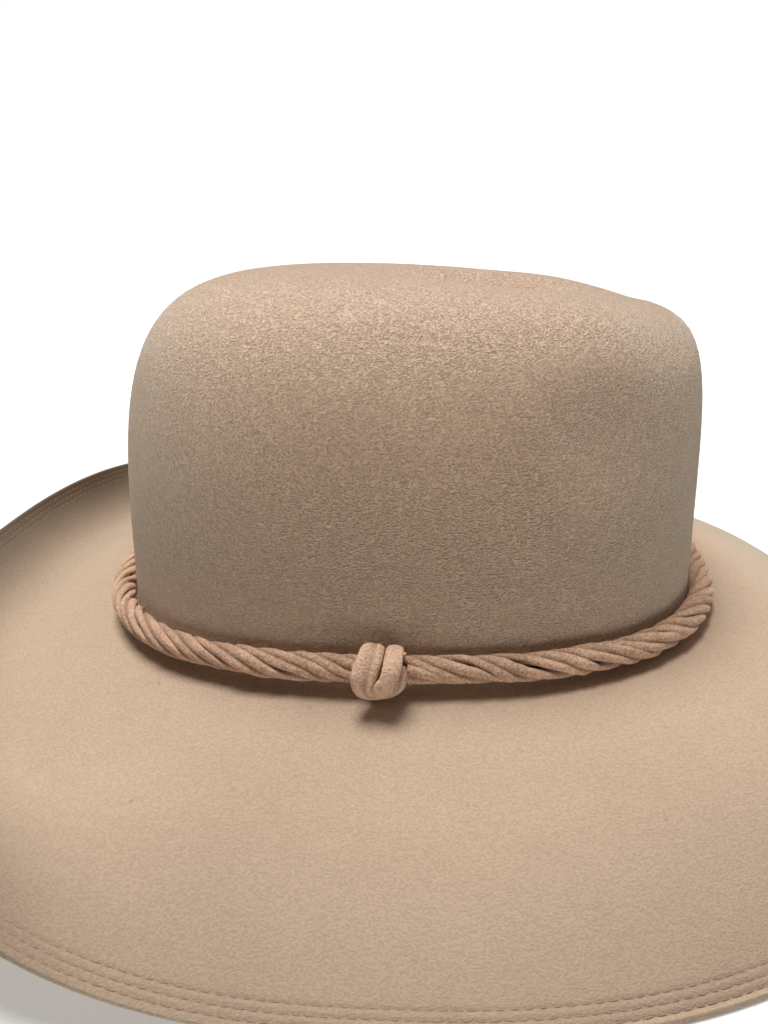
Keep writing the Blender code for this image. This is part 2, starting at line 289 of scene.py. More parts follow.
def makeFeltMaterial():
    look = feltLook
    material, tree, shader, place = startMaterial("hatFelt", {
        "Sheen Weight": look["sheen"], "Sheen Roughness": look["sheenRoughness"],
        "Sheen Tint": look["sheenTint"], "Specular IOR Level": look["specular"]})
    nap = groupNode(tree, napGroup, {
        "Vector": place, "Grain": look["napGrain"], "Flatten": look["napFlatten"],
        "Contrast": look["napContrast"]})
    drift = groupNode(tree, driftGroup, {
        "Vector": place, "Patch": look["driftPatch"], "Amount": look["driftAmount"]})
    smudge = groupNode(tree, driftGroup, {
        "Vector": place, "Patch": look["smudgePatch"], "Amount": look["smudgeAmount"]})
    edge = attributeNode(tree, "edgeGap")["Fac"]
    onCrown = ranged(tree, edge, (look["crownFrom"], look["crownTo"], 0.0, 1.0))
    brushed = ranged(tree, onCrown, (0.0, 1.0, look["brimNap"], 1.0))  # the brim's nap is calmer
    calmed = mathNode(tree, "MULTIPLY_ADD", mathNode(tree, "SUBTRACT", nap["Mask"], 0.5), brushed, 0.5)
    colour = blendColours(tree, calmed, look["dark"], look["light"])
    # the crown is painted lighter than the brim: painted light that offsets the shade on its walls
    colour = tinted(tree, onCrown, colour, look["crownPaintedLight"])
    axes = put(tree, "ShaderNodeSeparateXYZ", {0: place}).outputs
    high = ranged(tree, axes[2], (look["topFrom"], look["topTo"], 0.0, 1.0), soft=True)
    # the top of the crown is painted lighter: a painted highlight for the sheen along its top
    colour = tinted(tree, high, colour, look["topPaintedSheen"])
    rise = mathNode(tree, "SUBTRACT", axes[2], feltSizes["breakHeight"])
    footPaintedLight = ranged(tree, rise, (0.0, look["footReach"], look["footLightTone"], 1.0))  # painted light above the band, lifting the shade at the crown's foot
    # painted shade along the back brim's edge, where it curls up steeply away from the light
    behind = ranged(tree, axes[0], (look["curlFrom"], look["curlTo"], 0.0, 1.0), soft=True)
    curlShade = ranged(tree, edge, (0.0, look["curlReach"], look["curlShadeTone"], 1.0), soft=True)
    # darker towards the cut edge all round: painted shade along the brim's edge
    edgeShade = ranged(tree, edge, (0.0, look["rimReach"], look["rimTone"], 1.0))
    tone = mathNode(tree, "MULTIPLY", drift["Factor"], smudge["Factor"])
    for part in (blendNumbers(tree, onCrown, 1.0, footPaintedLight), blendNumbers(tree, behind, 1.0, curlShade), edgeShade):
        tone = mathNode(tree, "MULTIPLY", tone, part)
    colour = blendColours(tree, 1.0, colour, grey(tree, tone), "MULTIPLY")
    for row in stitchRows:  # the felt is pulled down along each row, and painted shade darkens it there
        off = mathNode(tree, "ABSOLUTE", mathNode(tree, "SUBTRACT", edge, row))
        near = ranged(tree, off, (look["rowNear"], look["rowFar"], look["rowShade"], 0.0), soft=True)
        colour = blendColours(tree, near, colour, look["shade"])
    specks = noiseNode(tree, place, look["markSize"], 1.0)[0]
    spot = ranged(tree, specks, (look["markFrom"], look["markTo"], 0.0, 1.0))
    marked = groupNode(tree, wearAndHighlightGroup, {
        "Vector": place, "Where": spot, "Breakup": look["markBreakup"], "Amount": look["markAmount"]})
    colour = blendColours(tree, marked["Mask"], colour, look["mark"])
    tree.links.new(colour, shader.inputs["Base Color"])
    tree.links.new(ranged(tree, nap["Mask"], (0.0, 1.0, *look["rough"])), shader.inputs["Roughness"])
    raised = ranged(tree, onCrown, (0.0, 1.0, look["brimRelief"], 1.0))
    flatter = mathNode(tree, "MULTIPLY_ADD", high, look["topRelief"] - 1, 1.0)
    height = mathNode(tree, "MULTIPLY", nap["Height"], mathNode(tree, "MULTIPLY", raised, flatter))
    bump = put(tree, "ShaderNodeBump", {"Height": height, "Strength": 1.0, "Distance": look["relief"]})
    tree.links.new(bump.outputs[0], shader.inputs["Normal"])
    return material


feltSizes = {
    "thick": 0.0020, "length": 0.1950, "width": 0.1745, "height": 0.1115, "brim": 0.0930,
    "breakHeight": 0.0393, "fillet": 0.0060, "edgePress": 0.0012,
    "dentLength": 0.0900, "dentWidth": 0.0620, "dentDepth": 0.0090,
    "dentCentre": 0.30, "pinchLength": 0.0560, "pinchHeight": 0.0640, "pinchDepth": 0.0050,
    "pinchAlong": 0.62, "pinchUp": 0.66, "ovalPower": 2.65,
    "columns": 256, "crownRows": 58, "filletRows": 6, "brimRows": 40, "edgeRows": 27, "edgeBand": 0.0095,
    "stitchSink": 0.00016, "stitchSoft": 0.00050, "waver": 0.00022, "waverSize": 26.0, "calmBand": 0.012,
    "edgeRound": 0.0003, "edgeSteps": (0.1, 0.3, 0.5, 0.7, 0.9), "steepest": 100, "slopeTries": 40,
}
# angle from the front, width share, start slope in degrees, edge height share, straight share
brimSections = (
    (0, 1.00, 4.5, 0.00, 0), (50, 1.00, 0, 0.00, 0), (95, 1.00, -14.4, 0.00, 0),
    (128, 1.061, -15, 0.981, 0.50), (152, 0.918, -12, 1.277, 0.55), (180, 0.855, -11, 1.163, 0.55),
)
crownSections = (  # angle from the front, squareness, lean in hundredths
    (0, 6.8, -0.1), (45, 7.2, 0.8), (90, 4.0, 0.5), (180, 4.4, 4.2),
)
topLine = (  # place from back to front, height share
    (-1.0, 1.044), (-0.5, 0.996), (0.0, 0.973), (0.3, 0.941), (0.55, 0.921), (0.8, 0.897),
    (1.0, 0.965),
)


def bump(share):
    return (1 - np.minimum(np.abs(share), 1.0) ** 2) ** 2


def crownOval(angles):  # outline at the break, and its outward direction
    s, p = feltSizes, feltSizes["ovalPower"]
    c, q = np.cos(angles), np.sin(angles)
    x = s["length"] / 2 * np.sign(c) * np.abs(c) ** (2 / p)
    y = s["width"] / 2 * np.sign(q) * np.abs(q) ** (2 / p)
    outX = np.sign(c) * np.abs(c) ** (2 - 2 / p) / (s["length"] / 2)
    outY = np.sign(q) * np.abs(q) ** (2 - 2 / p) / (s["width"] / 2)
    size = np.hypot(outX, outY)
    return x, y, outX / size, outY / size


def awayFromFront(angles):
    return np.abs((np.degrees(angles) + 180) % 360 - 180)


def crownRing(angles, lift):
    s = feltSizes
    x, y, _, _ = crownOval(angles)
    away = awayFromFront(angles)
    square, lean = readTable(crownSections, away, 1), readTable(crownSections, away, 2) / 100
    reach = (math.cos(lift) ** square + math.sin(lift) ** square) ** (-1 / square)
    out, up = reach * math.cos(lift), reach * math.sin(lift)
    x, y = x * out * (1 - lean * up), y * out * (1 - lean * up)
    z = s["height"] * readTable(topLine, x / (s["length"] / 2), 1) * up
    half = s["length"] / 2
    dent = bump(np.hypot((x - s["dentCentre"] * half) / (s["dentLength"] / 2), y / (s["dentWidth"] / 2)))
    pinch = bump(np.hypot((x - s["pinchAlong"] * half) / (s["pinchLength"] / 2),
                          (z - s["pinchUp"] * s["height"]) / (s["pinchHeight"] / 2)))
    y = y - s["pinchDepth"] * pinch * 2 * y / s["width"]
    return np.column_stack((x, y, s["breakHeight"] + z - s["dentDepth"] * dent))


def brimReach(curve, share):  # how far out and up the brim has come: straight first, then an even turn
    width, first, last, hold = curve
    straight = width * np.minimum(share, hold)
    turned = np.maximum(share - hold, 0) / (1 - hold)
    half = (last - first) * turned / 2 + 1e-9
    chord = width * (1 - hold) * turned * np.sin(half) / half
    return (straight * np.cos(first) + chord * np.cos(first + half),
            straight * np.sin(first) + chord * np.sin(first + half))


def brimCurve(angles):  # the last slope is found so that the edge reaches its height
    s = feltSizes
    away = awayFromFront(angles)
    width = s["brim"] * readTable(brimSections, away, 1)
    first = np.radians(readTable(brimSections, away, 2))
    share, hold = readTable(brimSections, away, 3), readTable(brimSections, away, 4)
    rise = (share - 1) * s["breakHeight"] + (1 - share) * (s["thick"] - s["edgePress"])
    high = np.full(len(angles), math.radians(s["steepest"]))
    low = -high
    for _ in range(s["slopeTries"]):
        last = (low + high) / 2
        under = brimReach((width, first, last, hold), 1.0)[1] < rise
        low, high = np.where(under, last, low), np.where(under, high, last)
    return width, first, last, hold


def brimRing(angles, curve, distance):  # distance from the break, one for each angle
    x, y, outX, outY = crownOval(angles)
    out, up = brimReach(curve, distance / curve[0])
    z = np.maximum(feltSizes["breakHeight"] + up, feltSizes["thick"])
    return np.column_stack((x + outX * out, y + outY * out, z))


def gridNormals(rings):  # rings of points, crown first, edge last
    down = np.gradient(rings, axis=0)
    around = np.roll(rings, -1, axis=1) - np.roll(rings, 1, axis=1)
    normals = np.cross(down, around)
    return normals / np.linalg.norm(normals, axis=2)[:, :, None]


def makeFelt(material):
    s = feltSizes
    angles = np.arange(s["columns"]) * math.tau / s["columns"]
    curve = brimCurve(angles)
    width = curve[0]
    wallEnd = math.atan2(s["fillet"] / s["height"], 1)
    lifts = math.pi / 2 + (wallEnd - math.pi / 2) * np.arange(1, s["crownRows"] + 1) / s["crownRows"]
    rings = [crownRing(angles, lift) for lift in lifts]
    gaps = [width + s["height"]] * len(rings)
    wall, floor = rings[-1], brimRing(angles, curve, np.full(s["columns"], s["fillet"]))
    x, y, _, _ = crownOval(angles)
    corner = np.column_stack((x, y, np.full(s["columns"], s["breakHeight"])))
    for t in np.arange(1, s["filletRows"]) / s["filletRows"]:
        rings.append((1 - t) ** 2 * wall + 2 * t * (1 - t) * corner + t * t * floor)
        gaps.append(width)
    inner = width - s["edgeBand"]
    steps = [s["fillet"] + (inner - s["fillet"]) * k / s["brimRows"] for k in range(s["brimRows"])]
    steps += [inner + s["edgeBand"] * k / s["edgeRows"] for k in range(s["edgeRows"] + 1)]
    for distance in steps:
        rings.append(brimRing(angles, curve, distance))
        gaps.append(width - distance)
    top, gaps = np.array(rings), np.array(gaps)
    normals = gridNormals(top)
    sink = sum(np.exp(-((gaps - row) / s["stitchSoft"]) ** 2) for row in stitchRows) * s["stitchSink"]
    lower = top - normals * s["thick"]
    lower[:, :, 2] = np.maximum(lower[:, :, 2], 0.0)
    calm = np.clip(gaps / s["calmBand"], 0, 1)  # the cut edge keeps its line
    waver = np.array([[noise.noise(Vector(p) * s["waverSize"]) for p in ring] for ring in top])
    waver = waver * s["waver"] * calm
    top = top + normals * (waver - sink)[:, :, None]
    lower = lower + normals * (waver + sink)[:, :, None]
    lower[:, :, 2] = np.maximum(lower[:, :, 2], 0.0)
    outward = top[-1] - top[-2]
    outward /= np.linalg.norm(outward, axis=1)[:, None]
    rim = [top[-1] * (1 - t) + lower[-1] * t + outward * s["edgeRound"] * math.sin(math.pi * t)
           for t in s["edgeSteps"]]
    sheet = np.concatenate((top, np.array(rim), lower[::-1]))
    edgeGap = np.concatenate((gaps, np.zeros((len(rim), s["columns"])), gaps[::-1]))
    count = s["columns"]
    faces = gridFaces(len(sheet), count)
    points = list(sheet.reshape(-1, 3))
    closeRing(points, faces, 0, count, True)
    closeRing(points, faces, (len(sheet) - 1) * count, count, False)
    points = np.array(points)
    low, high = (np.array(corner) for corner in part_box("felt_body"))
    shift = (low[0] + high[0] - points[:, 0].min() - points[:, 0].max()) / 2
    points[:, 0] += shift
    felt = meshPiece("felt", points, faces, material)
    farPoints = [1.0, 1.0]  # the two points that close the crown's top, outside and inside
    attribute = felt.data.attributes.new("edgeGap", "FLOAT", "POINT")
    attribute.data.foreach_set("value", np.concatenate((edgeGap.reshape(-1), farPoints)).astype(np.float32))
    print("felt:", len(felt.data.polygons), "faces")
    return felt, shift


feltMaterial = makeFeltMaterial()
felt, feltShift = makeFelt(feltMaterial)

# stitch rows along the brim

stitchSizes = {
    "pitch": 0.0031, "length": 0.0026, "thick": 0.00034, "lift": 0.00003, "yaw": 0.12, "seed": 4,
    "least": (0.72, 0.8, 0.8), "most": (1.12, 1.2, 1.1), "normalStep": 0.0004,
}
threadLook = {
    "dark": (0.30, 0.20, 0.135, 1), "light": (0.43, 0.30, 0.205, 1), "grain": 3200.0, "contrast": 0.9,
    "driftPatch": 60.0, "driftAmount": 0.12, "rough": (0.6, 0.85), "sheen": 0.2, "specular": 0.25,
}


def makeThreadMaterial():
    look = threadLook
    material, tree, shader, place = startMaterial("brimThread", {
        "Sheen Weight": look["sheen"], "Specular IOR Level": look["specular"]})
    nap = groupNode(tree, napGroup, {"Vector": place, "Grain": look["grain"], "Contrast": look["contrast"]})
    colour = blendColours(tree, nap["Mask"], look["dark"], look["light"])
    drift = groupNode(tree, driftGroup, {
        "Vector": place, "Patch": look["driftPatch"], "Amount": look["driftAmount"]})
    colour = blendColours(tree, 1.0, colour, grey(tree, drift["Factor"]), "MULTIPLY")
    tree.links.new(colour, shader.inputs["Base Color"])
    tree.links.new(ranged(tree, nap["Mask"], (0.0, 1.0, *look["rough"])), shader.inputs["Roughness"])
    return material


def makeStitchTree():  # one stitch a pitch along each guide, lying along it and square to the felt
    tree, fed = shapeTree("stitchRow", [
        ("Pitch", "Float", 0.003), ("Length", "Float", 0.002), ("Thick", "Float", 0.0004),
        ("Yaw", "Float", 0.1), ("Seed", "Int", 0), ("Material", "Material", None)])
    rows = put(tree, "GeometryNodeMeshToCurve", {0: fed["Geometry"]})
    spaced = put(tree, "GeometryNodeResampleCurve", {"Curve": rows.outputs[0], "Length": fed["Pitch"]},
                 mode="LENGTH")
    thread = put(tree, "GeometryNodeMeshUVSphere", {"Segments": 6, "Rings": 5, "Radius": 0.5})
    tangent = put(tree, "GeometryNodeInputTangent").outputs[0]
    outward = put(tree, "GeometryNodeInputNamedAttribute", {"Name": "faceUp"},
                  data_type="FLOAT_VECTOR").outputs[0]
    turn = put(tree, "FunctionNodeAxesToRotation", {0: outward, 1: tangent},
               primary_axis="Z", secondary_axis="X")
    shake = put(tree, "FunctionNodeRandomValue", {
        "Min": stitchSizes["least"], "Max": stitchSizes["most"], "Seed": fed["Seed"]},
                data_type="FLOAT_VECTOR")
    swing = put(tree, "FunctionNodeRandomValue", {
        2: mathNode(tree, "MULTIPLY", fed["Yaw"], -1.0), 3: fed["Yaw"],
        "Seed": mathNode(tree, "ADD", fed["Seed"], 3.0)}, data_type="FLOAT")
    yaw = put(tree, "ShaderNodeCombineXYZ", {2: swing.outputs[1]})
    skewed = put(tree, "FunctionNodeRotateRotation", {0: turn.outputs[0], 1: yaw.outputs[0]},
                 rotation_space="LOCAL")
    size = put(tree, "ShaderNodeCombineXYZ", {0: fed["Length"], 1: fed["Thick"], 2: fed["Thick"]})
    scale = vectorNode(tree, "MULTIPLY", size.outputs[0], shake.outputs[0])
    laid = put(tree, "GeometryNodeInstanceOnPoints", {
        "Points": spaced.outputs[0], "Instance": thread.outputs[0], "Rotation": skewed.outputs[0],
        "Scale": scale})
    closeTree(tree, laid.outputs[0], fed["Material"])
    return tree


def makeStitches(material):
    s, z = feltSizes, stitchSizes
    columns, step = s["columns"], z["normalStep"]
    angles = np.arange(columns) * math.tau / columns
    curve = brimCurve(angles)
    points, outs, edges = [], [], []
    for row in stitchRows:
        rings = np.array([brimRing(angles, curve, curve[0] - row - side) for side in (step, 0.0, -step)])
        normal = gridNormals(rings)[1]
        sink = s["stitchSink"] - z["lift"]
        for place, out in ((rings[1] - normal * sink, normal),
                           (rings[1] - normal * (s["thick"] - sink), -normal)):
            first = len(points)
            place = place + (feltShift, 0, 0)
            points += list(place)
            outs += list(out)
            edges += [(first + k, first + (k + 1) % columns) for k in range(columns)]
    guide = meshPiece("brimStitches", points, [], edges=edges)
    guide.data.attributes.new("faceUp", "FLOAT_VECTOR", "POINT").data.foreach_set(
        "vector", np.array(outs, np.float32).reshape(-1))
    stitches = growPiece(guide, makeStitchTree(), {
        "Pitch": z["pitch"], "Length": z["length"], "Thick": z["thick"], "Yaw": z["yaw"],
        "Seed": z["seed"], "Material": material})
    print("stitches:", len(stitches.data.polygons), "faces")
    return stitches


threadMaterial = makeThreadMaterial()
stitches = makeStitches(threadMaterial)

# twisted suede band

suedeLook = {
    "light": (0.900, 0.600, 0.405, 1), "dark": (0.480, 0.275, 0.175, 1), "foldShadeColour": (0.150, 0.075, 0.042, 1),
    "rubbedAndHighlit": (0.880, 0.660, 0.510, 1), "rubBreakup": 420.0, "rubAmount": 0.5,
    "grain": 1500.0, "grainContrast": 1.5, "grainShare": 0.6, "relief": 0.00060, "reliefStrength": 0.9,
    "streakGrain": 300.0, "streakContrast": 0.7, "streakRelief": 0.8,
    "driftPatch": 150.0, "driftAmount": 0.16, "rough": (0.8, 1.0),
    "sheen": 0.30, "sheenRoughness": 0.5, "sheenTint": (1.0, 0.93, 0.88, 1), "specular": 0.2,
}


def makeSuedeMaterial():
    look = suedeLook
    material, tree, shader, place = startMaterial("bandSuede", {
        "Sheen Weight": look["sheen"], "Sheen Roughness": look["sheenRoughness"],
        "Sheen Tint": look["sheenTint"], "Specular IOR Level": look["specular"]})
    lace = attributeNode(tree, "laceMap")["Vector"]
    nap = groupNode(tree, napGroup, {
        "Vector": place, "Grain": look["grain"], "Contrast": look["grainContrast"]})
    streak = groupNode(tree, napGroup, {
        "Vector": lace, "Grain": look["streakGrain"], "Contrast": look["streakContrast"]})
    drift = groupNode(tree, driftGroup, {
        "Vector": place, "Patch": look["driftPatch"], "Amount": look["driftAmount"]})
    mask = mathNode(tree, "ADD", mathNode(tree, "MULTIPLY", nap["Mask"], look["grainShare"]),
                    mathNode(tree, "MULTIPLY", streak["Mask"], 1 - look["grainShare"]))
    colour = blendColours(tree, mask, look["dark"], look["light"])
    colour = blendColours(tree, 1.0, colour, grey(tree, drift["Factor"]), "MULTIPLY")
    # painted shade in the laces' folds and grooves and on the knot's core
    colour = blendColours(tree, attributeNode(tree, "foldDepth")["Fac"], colour, look["foldShadeColour"])
    rubAndHighlight = groupNode(tree, wearAndHighlightGroup, {
        "Vector": place, "Where": attributeNode(tree, "ridgeRub")["Fac"], "Breakup": look["rubBreakup"],
        "Amount": look["rubAmount"]})
    # paler where the laces face out: rubbed suede with a painted highlight on the ridges
    colour = blendColours(tree, rubAndHighlight["Mask"], colour, look["rubbedAndHighlit"])
    tree.links.new(colour, shader.inputs["Base Color"])
    tree.links.new(ranged(tree, nap["Mask"], (0.0, 1.0, *look["rough"])), shader.inputs["Roughness"])
    height = mathNode(tree, "MULTIPLY_ADD", streak["Height"], look["streakRelief"], nap["Height"])
    relief = put(tree, "ShaderNodeBump", {
        "Height": height, "Strength": look["reliefStrength"], "Distance": look["relief"]})
    tree.links.new(relief.outputs[0], shader.inputs["Normal"])
    return material


bandSizes = {
    "cord": 0.0084, "clearance": 0.0003, "pitch": 0.0470, "strands": 3, "knotAngle": 269.4, "gap": 0.0060,
    "pathPoints": 1441, "guidePoints": 420, "step": 0.0012, "centreShare": 0.50, "coreShare": 0.10,
    "profilePoints": 36, "outerPoints": 28, "grooveShare": 0.54, "foldShare": 0.40, "foldPlace": 0.54,
    "lobeSkew": 0.72, "lobeFull": 0.44, "creaseSpread": 1.1, "creaseShade": 0.95,
    "wobble": 1.9, "sway": 0.00050, "waveRate": 40.0, "strandShift": 9.0,
    "swell": 0.45, "swellRate": 1.7, "swellMiddle": 0.55, "lump": 0.00075,
    "lumpGrain": 420.0, "lumpMiddle": 0.55,
    "mapAlong": 0.22, "mapAround": 0.0022, "mapShift": 0.7, "seed": 7,
}


def cordPath():  # the ring in the corner between crown and brim, open under the knot
    s, b = feltSizes, bandSizes
    turn = math.radians(b["knotAngle"])
    angles = turn + np.linspace(0, math.tau, b["pathPoints"])
    x, y, outX, outY = crownOval(angles)
    slope = brimCurve(angles)[1]
    radius = b["cord"] / 2
    out = radius + b["clearance"]
    up = np.maximum((out * np.sin(slope) + radius + b["clearance"]) / np.cos(slope), s["fillet"])
    fine = np.column_stack((x + outX * out + feltShift, y + outY * out, s["breakHeight"] + up))
    lengths = np.concatenate(([0], np.cumsum(np.linalg.norm(np.diff(fine, axis=0), axis=1))))
    wanted = np.linspace(b["gap"], lengths[-1] - b["gap"], b["guidePoints"])
    return np.column_stack([np.interp(wanted, lengths, fine[:, k]) for k in range(3)])


def laceProfile():  # one lace end on: a third of the cord, folded lengthwise so that it shows two lobes
    b = bandSizes
    radius, half = b["cord"] / 2, math.pi / b["strands"]
    points, creases = [], []
    for k in range(b["outerPoints"]):
        share = k / (b["outerPoints"] - 1)
        first = share < b["foldPlace"]
        lobe = share / b["foldPlace"] if first else (share - b["foldPlace"]) / (1 - b["foldPlace"])
        full = math.sin(math.pi * lobe ** b["lobeSkew"]) ** b["lobeFull"] if 0 < lobe < 1 else 0.0
        towardsFold = lobe if first else 1 - lobe
        depth = b["grooveShare"] + (b["foldShare"] - b["grooveShare"]) * towardsFold
        reach, turn = radius * (1 - depth * (1 - full)), half * (2 * share - 1)
        points.append((reach * math.cos(turn) - radius * b["centreShare"], reach * math.sin(turn), 0))
        creases.append((1 - full) ** b["creaseSpread"])
    inner = b["profilePoints"] - b["outerPoints"]
    for k in range(inner):  # back along the inside of the cord, where nothing shows
        turn = half * (1 - 2 * (k + 0.5) / inner)
        reach = radius * b["coreShare"]
        points.append((reach * math.cos(turn) - radius * b["centreShare"], reach * math.sin(turn), 0))
        creases.append(1.0)
    count = len(points)
    profile = meshPiece("laceProfile", points, [], edges=[(k, (k + 1) % count) for k in range(count)])
    crease = profile.data.attributes.new("crease", "FLOAT", "POINT")
    crease.data.foreach_set("value", np.array(creases, np.float32))
    return profile


def makeLaceTree():  # laces twisted round a guide into one cord
    b = bandSizes
    tree, fed = shapeTree("laceTwist", [
        ("Profile", "Object", None), ("Strands", "Int", 3), ("Pitch", "Float", 0.047),
        ("Centre", "Float", 0.0022), ("Step", "Float", 0.001), ("Wobble", "Float", 0.3),
        ("Sway", "Float", 0.0002), ("Swell", "Float", 0.1), ("Lump", "Float", 0.0003),
        ("Lump Grain", "Float", 400.0), ("Seed", "Int", 0), ("Material", "Material", None)])
    guide = put(tree, "GeometryNodeMeshToCurve", {0: fed["Geometry"]})
    even = put(tree, "GeometryNodeResampleCurve", {"Curve": guide.outputs[0], "Length": fed["Step"]},
               mode="LENGTH")
    level = put(tree, "GeometryNodeSetCurveNormal", {0: even.outputs[0]}, mode="Z_UP")
    copies = put(tree, "GeometryNodeDuplicateElements", {0: level.outputs[0], "Amount": fed["Strands"]},
                 domain="SPLINE")
    strand = copies.outputs[1]
    along = put(tree, "GeometryNodeSplineParameter").outputs["Length"]
    tangent = put(tree, "GeometryNodeInputTangent").outputs[0]
    normal = put(tree, "GeometryNodeInputNormal").outputs[0]
    side = vectorNode(tree, "CROSS_PRODUCT", tangent, normal)
    place = put(tree, "ShaderNodeCombineXYZ", {
        0: mathNode(tree, "MULTIPLY", along, b["waveRate"]),
        1: mathNode(tree, "MULTIPLY", strand, b["strandShift"]), 2: fed["Seed"]}).outputs[0]
    waves = noiseNode(tree, place, 1.0, 1.0)
    swing = mathNode(tree, "MULTIPLY", mathNode(tree, "SUBTRACT", waves[0], 0.5), fed["Wobble"])
    turns = mathNode(tree, "ADD", mathNode(tree, "DIVIDE", along, fed["Pitch"]),
                     mathNode(tree, "DIVIDE", strand, fed["Strands"]))
    phase = mathNode(tree, "ADD", mathNode(tree, "MULTIPLY", turns, math.tau), swing)
    radial = vectorNode(tree, "ADD", scaledVector(tree, normal, mathNode(tree, "COSINE", phase)),
                        scaledVector(tree, side, mathNode(tree, "SINE", phase)))
    drift = vectorNode(tree, "SUBTRACT", waves[1], (0.5, 0.5, 0.5))
    offset = vectorNode(tree, "ADD", scaledVector(tree, radial, fed["Centre"]),
                        scaledVector(tree, drift, mathNode(tree, "MULTIPLY", fed["Sway"], 2.0)))
    run = mathNode(tree, "MULTIPLY_ADD", strand, b["mapShift"], along)
    plump = noiseNode(tree, place, b["swellRate"], 1.0)[0]
    girth = mathNode(tree, "MULTIPLY_ADD", mathNode(tree, "SUBTRACT", plump, b["swellMiddle"]),
                     fed["Swell"], 1.0)
    kept = put(tree, "GeometryNodeCaptureAttribute", {0: copies.outputs[0]}, domain="POINT")
    captured = (("VECTOR", "Offset", offset), ("FLOAT", "Phase", phase), ("FLOAT", "Run", run),
                ("FLOAT", "Girth", girth))
    for number, (kind, name, value) in enumerate(captured):
        kept.capture_items.new(kind, name)
        tree.links.new(value, kept.inputs[number + 1])
    tilted = put(tree, "GeometryNodeSetCurveTilt", {0: kept.outputs[0], "Tilt": kept.outputs["Phase"]})
    helix = put(tree, "GeometryNodeSetPosition", {0: tilted.outputs[0], "Offset": kept.outputs["Offset"]})
    shape = put(tree, "GeometryNodeObjectInfo", {0: fed["Profile"]})
    ring = put(tree, "GeometryNodeMeshToCurve", {0: shape.outputs["Geometry"]})
    keptRing = put(tree, "GeometryNodeCaptureAttribute", {0: ring.outputs[0]}, domain="POINT")
    keptRing.capture_items.new("FLOAT", "Round")
    tree.links.new(put(tree, "GeometryNodeSplineParameter").outputs[0], keptRing.inputs[1])
    swept = put(tree, "GeometryNodeCurveToMesh", {
        0: helix.outputs[0], 1: keptRing.outputs[0], "Scale": kept.outputs["Girth"], "Fill Caps": True})
    angle = mathNode(tree, "MULTIPLY", keptRing.outputs["Round"], math.tau)
    lace = put(tree, "ShaderNodeCombineXYZ", {
        0: mathNode(tree, "MULTIPLY", kept.outputs["Run"], b["mapAlong"]),
        1: mathNode(tree, "MULTIPLY", mathNode(tree, "COSINE", angle), b["mapAround"]),
        2: mathNode(tree, "MULTIPLY", mathNode(tree, "SINE", angle), b["mapAround"])}).outputs[0]
    crease = put(tree, "GeometryNodeInputNamedAttribute", {"Name": "crease"}, data_type="FLOAT").outputs[0]
    # painted shade along the lace's creases
    foldShadeAmount = mathNode(tree, "MULTIPLY", crease, b["creaseShade"])
    outer = mathNode(tree, "MAXIMUM", mathNode(tree, "COSINE", angle), 0.0)
    # the outward side of each lace is rubbed and given painted highlight
    rubbedAndHighlit = mathNode(tree, "POWER", outer, 2.0)
    sheet = swept.outputs[0]
    for name, kind, value in (("laceMap", "FLOAT_VECTOR", lace), ("foldDepth", "FLOAT", foldShadeAmount),
                              ("ridgeRub", "FLOAT", rubbedAndHighlit)):
        sheet = put(tree, "GeometryNodeStoreNamedAttribute", {0: sheet, "Name": name, "Value": value},
                    data_type=kind, domain="POINT").outputs[0]
    spot = put(tree, "GeometryNodeInputPosition").outputs[0]
    rough = noiseNode(tree, spot, fed["Lump Grain"], 2.0)[0]
    aboveMiddle = mathNode(tree, "SUBTRACT", rough, b["lumpMiddle"])
    raised = mathNode(tree, "MULTIPLY", aboveMiddle, fed["Lump"])
    face = put(tree, "GeometryNodeInputNormal").outputs[0]
    lumpy = put(tree, "GeometryNodeSetPosition", {0: sheet, "Offset": scaledVector(tree, face, raised)})
    closeTree(tree, lumpy.outputs[0], fed["Material"])
    return tree


def makeCord(material):
    b = bandSizes
    path = cordPath()
    guide = meshPiece("bandCord", path, [], edges=[(k, k + 1) for k in range(len(path) - 1)])
    profile = laceProfile()
    cord = growPiece(guide, makeLaceTree(), {
        "Profile": profile, "Strands": b["strands"], "Pitch": b["pitch"],
        "Centre": b["cord"] / 2 * b["centreShare"], "Step": b["step"], "Wobble": b["wobble"],
        "Sway": b["sway"], "Swell": b["swell"], "Lump": b["lump"], "Lump Grain": b["lumpGrain"],
        "Seed": b["seed"], "Material": material})
    bpy.data.objects.remove(profile)
    print("cord:", len(cord.data.polygons), "faces")
    return cord


suedeMaterial = makeSuedeMaterial()
cord = makeCord(suedeMaterial)

# knot of the same laces

